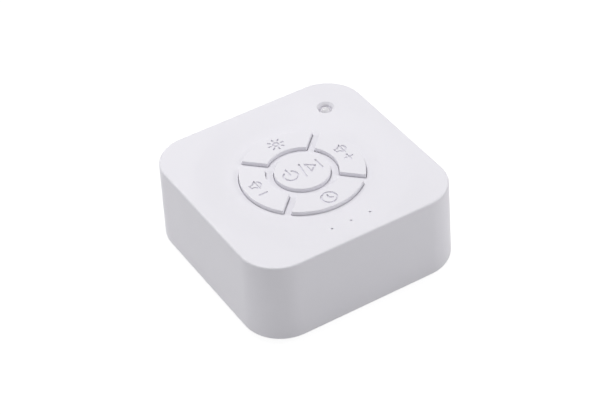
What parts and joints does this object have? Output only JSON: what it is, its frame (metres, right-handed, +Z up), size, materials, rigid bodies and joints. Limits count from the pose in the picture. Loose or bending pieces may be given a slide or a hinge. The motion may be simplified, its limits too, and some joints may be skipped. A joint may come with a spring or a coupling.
{
  "type": "white noise sound machine",
  "caption": "Low square sound machine with soft corners, a dished top with a round pad of push keys, a night light and a speaker behind a grille in its base.",
  "frame": {"origin": "middle of the base, on the surface that it stands on", "axes": "+X to the user's right, +Y to the back where the sockets are, +Z up"},
  "size_m": [0.0994, 0.0994, 0.0405],
  "materials": {
    "shell_plastic": "fine satin moulded plastic, cool white",
    "key_plastic": "fine satin moulded plastic, cool white",
    "foot_rubber": "soft matt rubber",
    "screw_steel": "zinc plated",
    "clear_lens": "clear epoxy",
    "lamp_chip": "small lamp chips",
    "tinned_wire": "tinned leads",
    "board_green": "solder mask",
    "switch_black": "moulded black",
    "chip_black": "epoxy package",
    "can_steel": "pressed can",
    "socket_steel": "stamped and plated",
    "connector_ivory": "nylon",
    "cell_wrap": "shrink sleeve",
    "foam_grey": "open foam",
    "wire_insulation": "insulated wire",
    "speaker_steel": "black zinc",
    "speaker_rubber": "moulded rubber",
    "speaker_paper": "pressed paper",
    "speaker_coil": "copper winding on its former",
    "spider_cloth": "impregnated cloth",
    "ferrite": "sintered ferrite",
    "tag_board": "phenolic strip",
    "dust_cloth": "fine mesh cloth"
  },
  "bodies": {
    "housing": {"top_housing": "shell_plastic", "bottom_cover": "shell_plastic", "case_screws": "screw_steel", "foot_front_left": "foot_rubber", "foot_front_right": "foot_rubber", "foot_back_left": "foot_rubber", "foot_back_right": "foot_rubber", "power_switch": "switch_black", "light_switch": "switch_black", "volume_down_switch": "switch_black", "volume_up_switch": "switch_black", "timer_switch": "switch_black", "switch_covers": "can_steel", "switch_domes": "can_steel", "night_light_lens": "clear_lens", "night_light_leads": "tinned_wire", "timer_light_pipes": "clear_lens", "timer_lamps": "lamp_chip", "main_board": "board_green", "board_screws": "screw_steel", "sound_chip": "chip_black", "amplifier_chip": "chip_black", "charger_chip": "chip_black", "crystal": "can_steel", "filter_capacitors": "can_steel", "chip_resistors": "chip_black", "usb_socket_shell": "socket_steel", "usb_socket_tongue": "switch_black", "headphone_jack": "switch_black", "board_headers": "connector_ivory", "wire_plugs": "connector_ivory", "battery_cell": "cell_wrap", "battery_protection_board": "board_green", "battery_foam_pad": "foam_grey", "battery_leads": "wire_insulation", "speaker_frame": "speaker_steel", "speaker_gasket": "foam_grey", "speaker_surround": "speaker_rubber", "speaker_spider": "spider_cloth", "speaker_top_plate": "speaker_steel", "speaker_magnet": "ferrite", "speaker_yoke": "speaker_steel", "speaker_terminals": "tag_board", "speaker_screws": "screw_steel", "speaker_leads": "wire_insulation", "speaker_dust_screen": "dust_cloth"},
    "power_button": {"power_key": "key_plastic", "power_plunger": "switch_black"},
    "light_button": {"light_key": "key_plastic", "light_plunger": "switch_black"},
    "volume_down_button": {"volume_down_key": "key_plastic", "volume_down_plunger": "switch_black"},
    "volume_up_button": {"volume_up_key": "key_plastic", "volume_up_plunger": "switch_black"},
    "timer_button": {"timer_key": "key_plastic", "timer_plunger": "switch_black"},
    "speaker_moving_assembly": {"speaker_cone": "speaker_paper", "speaker_voice_coil": "speaker_coil", "speaker_dust_cap": "speaker_rubber"}
  },
  "joints": [
    {"name": "power_press", "type": "slide", "parent": "housing", "child": "power_button", "axis": [0, 0, -1], "range_m": [0, 0.0005], "stiffness_N_per_m": 800, "springref_m": -0.0005},
    {"name": "light_press", "type": "slide", "parent": "housing", "child": "light_button", "axis": [0, 0, -1], "range_m": [0, 0.0005], "stiffness_N_per_m": 800, "springref_m": -0.0005},
    {"name": "volume_down_press", "type": "slide", "parent": "housing", "child": "volume_down_button", "axis": [0, 0, -1], "range_m": [0, 0.0005], "stiffness_N_per_m": 800, "springref_m": -0.0005},
    {"name": "volume_up_press", "type": "slide", "parent": "housing", "child": "volume_up_button", "axis": [0, 0, -1], "range_m": [0, 0.0005], "stiffness_N_per_m": 800, "springref_m": -0.0005},
    {"name": "timer_press", "type": "slide", "parent": "housing", "child": "timer_button", "axis": [0, 0, -1], "range_m": [0, 0.0005], "stiffness_N_per_m": 800, "springref_m": -0.0005},
    {"name": "speaker_stroke", "type": "slide", "parent": "housing", "child": "speaker_moving_assembly", "axis": [0, 0, 1], "range_m": [-0.0008, 0.0008], "stiffness_N_per_m": 1500, "deforming": ["speaker_surround", "speaker_spider"]}
  ]
}
